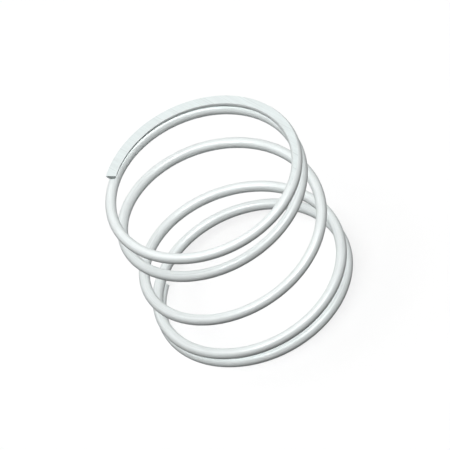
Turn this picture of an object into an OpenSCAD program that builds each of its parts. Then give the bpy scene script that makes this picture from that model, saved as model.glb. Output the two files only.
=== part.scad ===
// Compression spring wound from round wire, with closed ends ground flat.
// The coil's axis is Z. The lower ground face lies on z = 0, and both cut tips of the wire
// face the +X side. All sizes are in millimetres.

/* [Wire] */
// Diameter of the wire
wire_d = 2.0; // [1.6:0.1:2.6]

/* [Coil] */
// Outside diameter of the coil
outer_d = 38.0; // [26:0.5:60]
// Free length, from one ground face to the other
free_length = 32.2; // [24:0.2:60]
// Closed turns at each end, where the next turn lies against the tip
closed_turns = 1.0; // [1:0.25:2]
// Turns at each end over which the pitch opens from closed to full
opening_turns = 1.0; // [0.5:0.25:2]
// Turns in the middle that have the full pitch
full_turns = 1.0; // [1:0.5:4]
// Gap left between turns that lie against each other
closed_gap = 0.03; // [0.02:0.01:0.2]
// Hand of the winding
winding = "right"; // [right, left]

/* [Ground ends] */
// Thickness of wire that grinding leaves at each tip
tip_thickness = 0.95; // [0.5:0.05:1.4]

/* [Smoothness] */
// Sides round the wire
wire_sides = 24; // [12:4:32]
// Sections of wire in each turn
turn_sections = 48; // [24:4:64]

/* [Hidden] */

wire_r = wire_d / 2;
coil_r = (outer_d - wire_d) / 2;
closed_pitch = wire_d + closed_gap;
total_turns = 2 * closed_turns + 2 * opening_turns + full_turns;

// Height of the wire's centre at the lower tip, which the ground face cuts through
tip_z = tip_thickness - wire_r;
// Rise of the wire's centre line from the lower tip to the upper one
rise = free_length - 2 * tip_z;
// The full pitch is what is left of the rise once the closed pitch has its share
full_pitch = (rise - (2 * closed_turns + opening_turns) * closed_pitch)
    / (opening_turns + full_turns);

section_count = ceil(total_turns * turn_sections);
// The grinding blocks reach this far past the coil on every side
block_margin = wire_d;
steel = [0.80, 0.83, 0.82];

// How far turn t, counted from the nearer tip, is into the full pitch, from 0 to 1
function openness(t) = max(0, min(1, (t - closed_turns) / opening_turns));

// Openness summed from the tip up to turn t: a parabola while the pitch opens, then a line
function opened_turns(t) =
    t <= closed_turns ? 0
    : t <= closed_turns + opening_turns ? pow(t - closed_turns, 2) / (2 * opening_turns)
    : t - closed_turns - opening_turns / 2;

// Pitch of the winding at turn t from the lower tip
function pitch_at(t) =
    closed_pitch + (full_pitch - closed_pitch) * openness(min(t, total_turns - t));

// Rise of the centre line over the t turns next to either tip
function rise_from_tip(t) = closed_pitch * t + (full_pitch - closed_pitch) * opened_turns(t);

// Height of the wire's centre at turn t. The upper half mirrors the lower one.
function wire_z(t) =
    t <= total_turns / 2
    ? tip_z + rise_from_tip(t)
    : free_length - tip_z - rise_from_tip(total_turns - t);

// One round section of the wire at turn t, square to the wire's own direction there
function wire_section(t) =
    let (
        angle = 360 * t,
        lead = atan2(pitch_at(t), 2 * PI * coil_r),
        outward = [cos(angle), sin(angle), 0],
        along = [-sin(angle) * cos(lead), cos(angle) * cos(lead), sin(lead)],
        upward = cross(outward, along)
    )
    [
        for (side = [0 : wire_sides - 1])
        let (a = 360 * side / wire_sides)
        (coil_r + wire_r * cos(a)) * outward + wire_r * sin(a) * upward + [0, 0, wire_z(t)]
    ];

// The whole wire before grinding: sections in a row, joined by a skin of triangles
module wound_wire() {
    points = [
        for (k = [0 : section_count])
        each wire_section(total_turns * k / section_count)
    ];
    skin = [
        for (k = [0 : section_count - 1], i = [0 : wire_sides - 1])
        let (
            j = (i + 1) % wire_sides,
            here = k * wire_sides,
            next = here + wire_sides
        )
        each [
            [here + i, here + j, next + j],
            [here + i, next + j, next + i]
        ]
    ];
    lower_cut = [for (i = [wire_sides - 1 : -1 : 0]) i];
    upper_cut = [for (i = [0 : wire_sides - 1]) section_count * wire_sides + i];
    polyhedron(points = points, faces = concat(skin, [lower_cut, upper_cut]), convexity = 12);
}

// A block that takes away all of the wire beyond the face at the given height
module grinding_block(face_z, side) {
    reach = outer_d + 2 * block_margin;
    translate([-reach / 2, -reach / 2, side > 0 ? face_z : face_z - wire_d])
        cube([reach, reach, wire_d]);
}

module right_hand_spring() {
    difference() {
        wound_wire();
        grinding_block(0, -1);
        grinding_block(free_length, 1);
    }
}

module spring() {
    color(steel)
        if (winding == "left")
            mirror([0, 1, 0]) right_hand_spring();
        else
            right_hand_spring();
}

spring();
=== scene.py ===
"""A compression spring of drawn steel wire with closed, ground ends, standing on a pale floor."""
import math

import bmesh
import bpy
import numpy as np
from mathutils import Matrix, Vector


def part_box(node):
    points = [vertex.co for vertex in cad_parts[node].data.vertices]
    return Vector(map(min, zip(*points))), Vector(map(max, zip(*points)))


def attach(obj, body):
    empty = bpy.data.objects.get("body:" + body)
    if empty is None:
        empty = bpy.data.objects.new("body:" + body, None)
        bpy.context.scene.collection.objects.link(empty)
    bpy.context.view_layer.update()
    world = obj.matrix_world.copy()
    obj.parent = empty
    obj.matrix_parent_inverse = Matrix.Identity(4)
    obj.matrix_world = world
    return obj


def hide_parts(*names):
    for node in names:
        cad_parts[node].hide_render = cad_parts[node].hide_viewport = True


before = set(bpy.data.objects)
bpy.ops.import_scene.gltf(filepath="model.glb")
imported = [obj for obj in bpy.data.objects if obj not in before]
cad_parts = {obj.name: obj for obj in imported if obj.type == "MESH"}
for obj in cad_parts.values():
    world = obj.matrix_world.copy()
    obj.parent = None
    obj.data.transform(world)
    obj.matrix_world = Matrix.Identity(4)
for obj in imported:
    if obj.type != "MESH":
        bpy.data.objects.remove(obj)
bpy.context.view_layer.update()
spring_low, spring_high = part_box("spring")

MM = 0.001

# The spring's own sizes, in metres. The frame gives the coil and the free length.
WIRE_R = 1.0 * MM
COIL_R = (spring_high.x - spring_low.x) / 2 - WIRE_R
TURN_LENGTH = 2 * math.pi * COIL_R
FREE_LENGTH = spring_high.z - spring_low.z
CLOSED_TURNS = 1.0
OPENING_TURNS = 1.0
FULL_TURNS = 1.0
TOTAL_TURNS = 2 * (CLOSED_TURNS + OPENING_TURNS) + FULL_TURNS
CLOSED_GAP = 0.03 * MM
CLOSED_PITCH = 2 * WIRE_R + CLOSED_GAP
TIP_THICKNESS = 0.95 * MM
TIP_HEIGHT = TIP_THICKNESS - WIRE_R
RISE = FREE_LENGTH - 2 * TIP_HEIGHT
FULL_PITCH = (RISE - (2 * CLOSED_TURNS + OPENING_TURNS) * CLOSED_PITCH) / (
    OPENING_TURNS + FULL_TURNS
)

# Turns from the tip over which the wire is ground. Its centre rises there from the tip's
# height to one wire radius, at the closed pitch, and its underside then leaves the flat.
GROUND_TURNS = (WIRE_R - TIP_HEIGHT) / CLOSED_PITCH

# Deburring leaves this radius on the edges of the ground faces and the cut tips
EDGE_R = 0.035 * MM

# How finely the surface is drawn
ROUND_COLUMNS = 48
EDGE_COLUMNS = 3
FLAT_COLUMNS = 4
EDGE_RINGS = 4
GROUND_RINGS = 150
RINGS_PER_TURN = 150

# Points that lie closer than this become one
WELD = 1e-7

# The places of the three finishes in the mesh's list
WIRE_SLOT = 0
GROUND_SLOT = 1
TIP_SLOT = 2

# The finishes' colours, in linear colour
WIRE_COLOR = (0.85, 0.895, 0.89)
GROUND_COLOR = (0.77, 0.83, 0.825)
TIP_COLOR = (0.50, 0.54, 0.535)
WHITE = (1, 1, 1, 1)

# The marks on the steel: how many broad lines there are to a fine one, and how many scratches,
# along and across the lines. A scratch shows where its noise passes the first level, and is
# full at the second.
BROAD_LINES = 0.23
SCRATCHES = (0.4, 0.6, 0.6)
SCRATCH_LEVELS = (0.63, 0.72)
SCRATCH_DARKENING = 0.12
RELIEF_STRENGTH = 0.5

# Soft clouds of tone over the steel: how many to the metre, the span of their noise that
# counts, and the tones it stands for
CLOUDS_PER_METRE = 260.0
CLOUD_LEVELS = (0.3, 0.7)
CLOUD_TONES = (0.975, 1.015)

# The floor's reach from the middle, what it throws back of the light that falls on it, and
# how much of its brightness is its own. The rest is lit, and takes the shadow.
FLOOR_REACH = 40 * COIL_R
FLOOR_BOUNCE = 0.02
FLOOR_GLOW = 0.4

# Even light from all round
FILL_LEVEL = 0.02

# Each soft lamp's direction, as shares of the picture's right, its up and the way back to the
# camera, then its half width as an angle, its level on a white surface and whether it casts a
# shadow. The picture has no shadows, so only one lamp keeps one, on the floor.
LAMP_DISTANCE = 3.0
LAMPS = (
    ("overhead_softbox", (0.0, 0.65, 0.76), math.radians(14), 0.45, False),
    ("camera_side_softbox", (-0.42, 0.33, 0.845), math.radians(10), 0.32, False),
    ("left_softbox", (-0.58, 0.60, 0.55), math.radians(25), 0.29, True),
)

# The photograph's view: a parallel view from above, rolled to the left
IMAGE_SIDE = 450
COIL_R_PIXELS = 98.66
AXIS_PIXEL_X = 227.95
AXIS_PIXEL_Y = 230.89
VIEW_AZIMUTH = math.radians(214.5)
VIEW_ELEVATION = math.radians(46.24)
VIEW_ROLL = math.radians(26.09)
CAMERA_DISTANCE = 0.3
NEAREST_SEEN = 0.01
FARTHEST_SEEN = 10.0


def centre_height(t):
    """Height of the wire's centre t turns above the lower tip, for the lower half of the coil.
    The closed pitch is gained over every turn. On top of it comes the extra pitch times a
    function that is nought while the turns are closed, half a square while they open, and a
    straight line after that."""
    past = t - CLOSED_TURNS
    opening = np.clip(past, 0, OPENING_TURNS) ** 2 / (2 * OPENING_TURNS)
    opened = opening + np.maximum(past - OPENING_TURNS, 0)
    return TIP_HEIGHT + CLOSED_PITCH * t + (FULL_PITCH - CLOSED_PITCH) * opened


def lead_angle(t):
    """Slope of the wire at turn t: the arc tangent of the pitch there over one turn's length."""
    openness = np.clip((t - CLOSED_TURNS) / OPENING_TURNS, 0, 1)
    pitch = CLOSED_PITCH + (FULL_PITCH - CLOSED_PITCH) * openness
    return np.arctan2(pitch, TURN_LENGTH)


def ring_turns():
    """Where the rings lie, in turns from the tip, and how far each is drawn in at the tip.
    The tip's rounded edge is a quarter circle: its rings are EDGE_R times one minus the sine
    along the wire, and EDGE_R times one minus the cosine inwards. The rings of the ground
    stretch crowd towards its end, where the flat narrows as a square root."""
    quarter = np.linspace(math.pi / 2, 0, EDGE_RINGS, endpoint=False)
    edge_t = EDGE_R * (1 - np.sin(quarter)) / TURN_LENGTH
    edge_inset = EDGE_R * (1 - np.cos(quarter))
    start = EDGE_R / TURN_LENGTH
    share = np.linspace(0, 1, GROUND_RINGS)
    ground_t = start + (GROUND_TURNS - start) * (1 - (1 - share) ** 2)
    free_turns = TOTAL_TURNS / 2 - GROUND_TURNS
    free_rings = round(free_turns * RINGS_PER_TURN)
    free_t = GROUND_TURNS + free_turns * np.linspace(0, 1, free_rings)
    t = np.concatenate([edge_t, ground_t, free_t[1:]])
    inset = np.concatenate([edge_inset, np.zeros(len(t) - EDGE_RINGS)])
    return t, inset


def arc(out, up, radius, start, end, columns):
    """Columns along an arc: its centre plus the radius times the cosine and the sine of an
    angle that goes from start in even steps. The end itself belongs to the next stretch."""
    angle = start + (end - start) * np.arange(columns) / columns
    return out + radius * np.cos(angle), up + radius * np.sin(angle)


def section(t, inset):
    """Outline of the wire at each turn t, as columns of outward and of upward coordinates.
    It is a circle cut by a level chord, with a small arc in each corner. With circle radius r,
    chord height h and corner radius f, a corner arc's centre is f inside both: at height
    h + f, and the root of (r - f) squared minus (h + f) squared to either side. Where the
    wire is clear of the chord, h is -r, and the chord and both corners shrink to one point."""
    r = WIRE_R - inset
    f = EDGE_R - inset
    h = np.maximum(-centre_height(t) / np.cos(lead_angle(t)) + inset, -r)
    side = np.sqrt(np.maximum((r - f) ** 2 - (h + f) ** 2, 0))
    corner = np.arctan2(h + f, side)
    r, f, h, side, corner = (value[:, None] for value in (r, f, h, side, corner))
    steps = np.arange(FLAT_COLUMNS) / FLAT_COLUMNS
    round_part = arc(0, 0, r, corner, math.pi - corner, ROUND_COLUMNS)
    inner_edge = arc(-side, h + f, f, math.pi - corner, 1.5 * math.pi, EDGE_COLUMNS)
    flat_part = (side * (2 * steps - 1), h + 0 * steps)
    outer_edge = arc(side, h + f, f, -math.pi / 2, corner, EDGE_COLUMNS)
    out, up = zip(round_part, inner_edge, flat_part, outer_edge)
    return np.concatenate(out, 1), np.concatenate(up, 1)


def half_coil():
    """Points of the lower half, from its tip to mid-height, its quads with their UVs and
    finishes, and the points of the tip's face.
    A point is the wire's centre at turn t plus the section's outward part along the coil's
    radius and its upward part square to the radius and to the wire's direction. UVs are in
    metres: along the wire and round it."""
    t, inset = ring_turns()
    out, up = section(t, inset)
    angle = 2 * math.pi * t[:, None]
    lead = lead_angle(t)[:, None]
    reach = COIL_R + out
    x = reach * np.cos(angle) + up * np.sin(lead) * np.sin(angle)
    y = reach * np.sin(angle) - up * np.sin(lead) * np.cos(angle)
    z = centre_height(t)[:, None] + up * np.cos(lead)
    points = np.stack([x, y, z], -1).reshape(-1, 3)

    rings, columns = out.shape
    column = np.arange(columns)
    ring_start = np.arange(rings - 1)[:, None] * columns
    here = ring_start + column
    beside = ring_start + (column + 1) % columns
    quads = np.stack([here, here + columns, beside + columns, beside], -1)

    along = TURN_LENGTH * t
    around = 2 * math.pi * WIRE_R * np.arange(columns + 1) / ROUND_COLUMNS
    u = np.stack([along[:-1], along[1:], along[1:], along[:-1]], -1)[:, None]
    v = np.stack([around[:-1], around[:-1], around[1:], around[1:]], -1)[None]
    uv = np.stack(np.broadcast_arrays(u, v), -1).reshape(-1, 2)

    first_flat = ROUND_COLUMNS + EDGE_COLUMNS
    is_flat = (column >= first_flat) & (column < first_flat + FLAT_COLUMNS)
    slots = np.tile(np.where(is_flat, GROUND_SLOT, WIRE_SLOT), rings - 1)
    return points, quads.ravel(), uv, slots, column


def spring_mesh():
    """The whole spring. The upper half is the lower one turned over about the X axis at
    mid-height, which keeps the hand of the winding: y changes sign and z counts from the top.
    The two halves meet ring on ring, where their doubles are merged."""
    points, quads, uv, slots, tip = half_coil()
    turned = points * (1, -1, -1) + (0, 0, FREE_LENGTH)
    count = len(points)
    corners = np.concatenate([quads, quads + count, tip, tip + count])
    sizes = np.repeat([4, len(tip)], [2 * len(slots), 2])
    starts = np.cumsum(sizes) - sizes
    finishes = np.concatenate([slots, slots, [TIP_SLOT, TIP_SLOT]])
    tip_uv = points[tip][:, [0, 2]]

    mesh = bpy.data.meshes.new("coil_wire")
    mesh.vertices.add(2 * count)
    mesh.vertices.foreach_set("co", np.concatenate([points, turned]).ravel())
    mesh.loops.add(len(corners))
    mesh.loops.foreach_set("vertex_index", corners)
    mesh.polygons.add(len(sizes))
    mesh.polygons.foreach_set("loop_start", starts)
    mesh.polygons.foreach_set("material_index", finishes)
    mesh.polygons.foreach_set("use_smooth", finishes == WIRE_SLOT)
    layer = mesh.uv_layers.new(name="wire")
    layer.data.foreach_set("uv", np.concatenate([uv, uv, tip_uv, tip_uv]).ravel())
    mesh.update(calc_edges=True)

    bm = bmesh.new()
    bm.from_mesh(mesh)
    bmesh.ops.remove_doubles(bm, verts=bm.verts, dist=WELD)
    bmesh.ops.dissolve_degenerate(bm, edges=bm.edges, dist=WELD)
    bm.to_mesh(mesh)
    bm.free()
    return mesh


def node(tree, kind, place, **values):
    """Adds a shader node. A value named in_3 or in_Scale goes to that input: another node's
    output is linked to it, and anything else is set on it. Any other value is a property."""
    made = tree.nodes.new(kind)
    made.location = place
    for name, value in values.items():
        if not name.startswith("in_"):
            setattr(made, name, value)
            continue
        key = name[3:]
        socket = made.inputs[int(key) if key.isdigit() else key.replace("_", " ")]
        if isinstance(value, bpy.types.NodeSocket):
            tree.links.new(value, socket)
        else:
            socket.default_value = value
    return made


def maths(tree, place, operation, *terms, clamped=False):
    """Adds a sum on one to three terms and returns its result, held to 0 and 1 if clamped."""
    inputs = {f"in_{number}": term for number, term in enumerate(terms)}
    made = node(tree, "ShaderNodeMath", place, operation=operation, use_clamp=clamped, **inputs)
    return made.outputs["Value"]


def noise(tree, place, vector, scale, detail):
    """Adds a noise on the given vector and returns its value, which is 0.5 on average."""
    made = node(
        tree, "ShaderNodeTexNoise", place, in_Vector=vector, in_Scale=scale, in_Detail=detail
    )
    return made.outputs["Fac"]


def remap(tree, place, value, span, results):
    """Adds a node that carries a span of a value over to the results at its two ends, and
    holds it there beyond them."""
    made = node(
        tree, "ShaderNodeMapRange", place, in_0=value,
        in_1=span[0], in_2=span[1], in_3=results[0], in_4=results[1],
    )
    return made.outputs["Result"]


def steel_marks_group():
    """The marks that drawing, grinding and shearing leave, built once for all the steel.
    The lines are two noises of different fineness, added, on a vector that is squeezed across
    the lines and stretched along them. Scratches are the tops of a third noise, whose lines
    are longer. With the lines' swing between -1 and 1, Color is the given colour times one
    plus Spread times the swing, times one less the scratches' darkening, times the clouds'
    tone. Roughness is the given one less Spread times the swing. Height is the lines, from 0
    to 1, less the scratches."""
    tree = bpy.data.node_groups.new("steel_marks", "ShaderNodeTree")
    for name, side, kind in (
        ("Lines", "INPUT", "NodeSocketVector"),
        ("Place", "INPUT", "NodeSocketVector"),
        ("Color", "INPUT", "NodeSocketColor"),
        ("Roughness", "INPUT", "NodeSocketFloat"),
        ("Spread", "INPUT", "NodeSocketFloat"),
        ("Along", "INPUT", "NodeSocketFloat"),
        ("Across", "INPUT", "NodeSocketFloat"),
        ("Color", "OUTPUT", "NodeSocketColor"),
        ("Roughness", "OUTPUT", "NodeSocketFloat"),
        ("Height", "OUTPUT", "NodeSocketFloat"),
    ):
        tree.interface.new_socket(name=name, in_out=side, socket_type=kind)
    given = node(tree, "NodeGroupInput", (-1200, 0)).outputs

    across = given["Across"]
    squeeze = node(
        tree, "ShaderNodeCombineXYZ", (-1000, 100), in_X=given["Along"], in_Y=across, in_Z=across
    )
    squeezed = node(
        tree, "ShaderNodeVectorMath", (-800, 100), operation="MULTIPLY",
        in_0=given["Lines"], in_1=squeeze.outputs["Vector"],
    )
    lines = squeezed.outputs["Vector"]
    fine = noise(tree, (-600, 200), lines, 1.0, 3.0)
    broad = noise(tree, (-600, 0), lines, BROAD_LINES, 2.0)
    both = maths(tree, (-400, 100), "ADD", fine, broad)
    mask = maths(tree, (-200, 100), "SUBTRACT", both, 0.5, clamped=True)
    swing = maths(tree, (0, 100), "MULTIPLY_ADD", mask, 2.0, -1.0)

    stretched = node(
        tree, "ShaderNodeVectorMath", (-800, -200), operation="MULTIPLY",
        in_0=lines, in_1=SCRATCHES,
    )
    rare = noise(tree, (-600, -200), stretched.outputs["Vector"], 1.0, 1.0)
    scratch = remap(tree, (-400, -200), rare, SCRATCH_LEVELS, (0.0, 1.0))
    cloud = noise(tree, (-600, -400), given["Place"], CLOUDS_PER_METRE, 3.0)
    cloud_tone = remap(tree, (-400, -400), cloud, CLOUD_LEVELS, CLOUD_TONES)

    line_tone = maths(tree, (200, 200), "MULTIPLY_ADD", swing, given["Spread"], 1.0)
    cut_tone = maths(tree, (200, -200), "MULTIPLY_ADD", scratch, -SCRATCH_DARKENING, 1.0)
    marked_tone = maths(tree, (400, 0), "MULTIPLY", line_tone, cut_tone)
    tone = maths(tree, (600, 0), "MULTIPLY", marked_tone, cloud_tone)
    color = node(
        tree, "ShaderNodeVectorMath", (800, 200), operation="SCALE",
        in_0=given["Color"], in_Scale=tone,
    )
    smoother = maths(tree, (600, -200), "MULTIPLY", swing, given["Spread"])
    roughness = maths(tree, (800, 0), "SUBTRACT", given["Roughness"], smoother)
    height = maths(tree, (800, -200), "SUBTRACT", mask, scratch)
    node(
        tree, "NodeGroupOutput", (1000, 0),
        in_Color=color.outputs["Vector"], in_Roughness=roughness, in_Height=height,
    )
    return tree


def steel(name, marks, lines_on, color, metallic, roughness, along, across, spread, relief, turn=0.0):
    """A steel finish. Its lines run along the first of the coordinates in lines_on, turned by
    turn. along and across are how many there are to the metre each way, spread is how far
    they move the colour and the roughness, and relief is their height in metres."""
    made = bpy.data.materials.new(name)
    made.use_nodes = True
    tree = made.node_tree
    place = node(tree, "ShaderNodeTexCoord", (-1000, 0)).outputs
    lines = node(
        tree, "ShaderNodeMapping", (-800, 100), in_Vector=place[lines_on], in_Rotation=(0, 0, turn)
    )
    marked = node(
        tree, "ShaderNodeGroup", (-600, 0), node_tree=marks,
        in_Lines=lines.outputs["Vector"], in_Place=place["Object"], in_Color=(*color, 1),
        in_Roughness=roughness, in_Spread=spread, in_Along=along, in_Across=across,
    ).outputs
    bump = node(
        tree, "ShaderNodeBump", (-400, -200),
        in_Height=marked["Height"], in_Strength=RELIEF_STRENGTH, in_Distance=relief,
    )
    shader = tree.nodes["Principled BSDF"]
    shader.inputs["Metallic"].default_value = metallic
    shader.inputs["Specular IOR Level"].default_value = 0.0
    tree.links.new(marked["Color"], shader.inputs["Base Color"])
    tree.links.new(marked["Roughness"], shader.inputs["Roughness"])
    tree.links.new(bump.outputs["Normal"], shader.inputs["Normal"])
    return made


def drawn_wire(marks):
    """Bright wire, with the die's lines along it."""
    return steel(
        "drawn_wire", marks, "UV", WIRE_COLOR, metallic=0.12, roughness=0.33,
        along=160.0, across=9000.0, spread=0.09, relief=0.005 * MM,
    )


def ground_face(marks):
    """A satin face, with the grinding wheel's lines straight across the whole end."""
    return steel(
        "ground_face", marks, "Object", GROUND_COLOR, metallic=0.06, roughness=0.6,
        along=120.0, across=7000.0, spread=0.07, relief=0.003 * MM, turn=0.5,
    )


def sheared_tip(marks):
    """The dull, coarse face that the cutter leaves."""
    return steel(
        "sheared_tip", marks, "Object", TIP_COLOR, metallic=0.08, roughness=0.5,
        along=2500.0, across=6000.0, spread=0.12, relief=0.02 * MM,
    )


def make_spring():
    """The dressed spring, which stands for the CAD node."""
    marks = steel_marks_group()
    piece = bpy.data.objects.new("ground_coil", spring_mesh())
    bpy.context.scene.collection.objects.link(piece)
    for finish in (drawn_wire, ground_face, sheared_tip):
        piece.data.materials.append(finish(marks))
    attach(piece, "root")
    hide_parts("spring")


def seen_directly(tree, place):
    """A value that is 1 for rays from the camera, off gloss or through glass, and 0 for rays
    that only carry diffuse light."""
    across, down = place
    path = node(tree, "ShaderNodeLightPath", place).outputs
    first = maths(
        tree, (across + 200, down), "MAXIMUM", path["Is Camera Ray"], path["Is Glossy Ray"]
    )
    return maths(tree, (across + 400, down), "MAXIMUM", first, path["Is Transmission Ray"])


def pale_floor():
    """The floor's finish. To the camera it is partly matt, which takes the shadow, and partly
    an even glow. Its underside, which a low view can look at, is all glow."""
    made = bpy.data.materials.new("pale_floor")
    made.use_nodes = True
    tree = made.node_tree
    tree.nodes.clear()
    seen = seen_directly(tree, (-1000, 200))
    color = node(
        tree, "ShaderNodeMix", (-400, 200), data_type="RGBA", in_Factor=seen,
        in_A=(FLOOR_BOUNCE, FLOOR_BOUNCE, FLOOR_BOUNCE, 1), in_B=WHITE,
    )
    matt = node(tree, "ShaderNodeBsdfDiffuse", (-200, 200), in_Color=color.outputs["Result"])
    glow = node(tree, "ShaderNodeEmission", (-200, 0), in_Color=WHITE, in_Strength=1.0)
    side = node(tree, "ShaderNodeNewGeometry", (-600, 400)).outputs
    glowing = remap(tree, (-400, 400), side["Backfacing"], (0.0, 1.0), (FLOOR_GLOW, 1.0))
    share = maths(tree, (-200, 400), "MULTIPLY", seen, glowing)
    blend = node(
        tree, "ShaderNodeMixShader", (0, 100), in_0=share,
        in_1=matt.outputs["BSDF"], in_2=glow.outputs["Emission"],
    )
    node(tree, "ShaderNodeOutputMaterial", (200, 100), in_Surface=blend.outputs["Shader"])
    return made


def make_floor():
    """A pale, level floor, which throws little light back up."""
    half = FLOOR_REACH
    corners = [(-half, -half, 0), (half, -half, 0), (half, half, 0), (-half, half, 0)]
    mesh = bpy.data.meshes.new("floor")
    mesh.from_pydata(corners, [], [(0, 1, 2, 3)])
    mesh.materials.append(pale_floor())
    floor = bpy.data.objects.new("floor", mesh)
    bpy.context.scene.collection.objects.link(floor)


def make_world():
    """White where it is seen, and a dim, even fill light otherwise."""
    world = bpy.data.worlds.new("studio")
    bpy.context.scene.world = world
    world.use_nodes = True
    tree = world.node_tree
    tree.nodes.clear()
    seen = seen_directly(tree, (-800, 0))
    level = remap(tree, (-200, 0), seen, (0.0, 1.0), (FILL_LEVEL, 1.0))
    sky = node(tree, "ShaderNodeBackground", (0, 0), in_Color=WHITE, in_Strength=level)
    node(tree, "ShaderNodeOutputWorld", (200, 0), in_Surface=sky.outputs["Background"])


def soft_lamp(name, direction, softness, level, casts_shadow):
    """A round soft lamp that faces the spring and looks softness wide from its centre to its
    rim, as an angle. A white surface square to it renders at the given level: the power is
    level times pi squared times (distance squared + radius squared). A lamp without a shadow
    isn't looked for along bounced rays, which another turn could stop."""
    radius = LAMP_DISTANCE * math.tan(softness)
    data = bpy.data.lights.new(name, "AREA")
    data.shape = "DISK"
    data.size = 2 * radius
    data.energy = level * math.pi**2 * (LAMP_DISTANCE**2 + radius**2)
    data.use_shadow = casts_shadow
    data.cycles.use_multiple_importance_sampling = casts_shadow
    lamp = bpy.data.objects.new(name, data)
    towards = Vector(direction).normalized()
    lamp.location = Vector((0, 0, FREE_LENGTH / 2)) + towards * LAMP_DISTANCE
    lamp.rotation_euler = towards.to_track_quat("Z", "Y").to_euler()
    bpy.context.scene.collection.objects.link(lamp)


def make_camera():
    """A parallel camera at the photograph's angle, scaled so that the coil's mean radius
    takes up as many pixels as it does there. Returns the picture's right, its up and the way
    back to the camera."""
    metres_per_pixel = COIL_R / COIL_R_PIXELS
    spin = Matrix.Rotation(VIEW_AZIMUTH, 3, "Z")
    back = spin @ Vector((0, -math.cos(VIEW_ELEVATION), math.sin(VIEW_ELEVATION)))
    level_right = spin @ Vector((1, 0, 0))
    level_up = back.cross(level_right)
    right = level_right * math.cos(VIEW_ROLL) - level_up * math.sin(VIEW_ROLL)
    up = level_right * math.sin(VIEW_ROLL) + level_up * math.cos(VIEW_ROLL)
    middle = (IMAGE_SIDE - 1) / 2
    aim = Vector((0, 0, FREE_LENGTH / 2))
    aim -= right * (AXIS_PIXEL_X - middle) * metres_per_pixel
    aim += up * (AXIS_PIXEL_Y - middle) * metres_per_pixel
    data = bpy.data.cameras.new("view")
    data.type = "ORTHO"
    data.ortho_scale = IMAGE_SIDE * metres_per_pixel
    data.clip_start = NEAREST_SEEN
    data.clip_end = FARTHEST_SEEN
    camera = bpy.data.objects.new("view", data)
    turn = Matrix((right, up, back)).transposed()
    camera.matrix_world = Matrix.Translation(aim + back * CAMERA_DISTANCE) @ turn.to_4x4()
    bpy.context.scene.collection.objects.link(camera)
    bpy.context.scene.camera = camera
    return right, up, back


def make_lamps(right, up, back):
    """All the lamps, each turned from the picture's directions into the frame's."""
    for name, (across, above, towards), softness, level, casts_shadow in LAMPS:
        direction = across * right + above * up + towards * back
        soft_lamp(name, direction, softness, level, casts_shadow)


bpy.context.scene.view_settings.view_transform = "Standard"
make_spring()
make_floor()
make_world()
make_lamps(*make_camera())
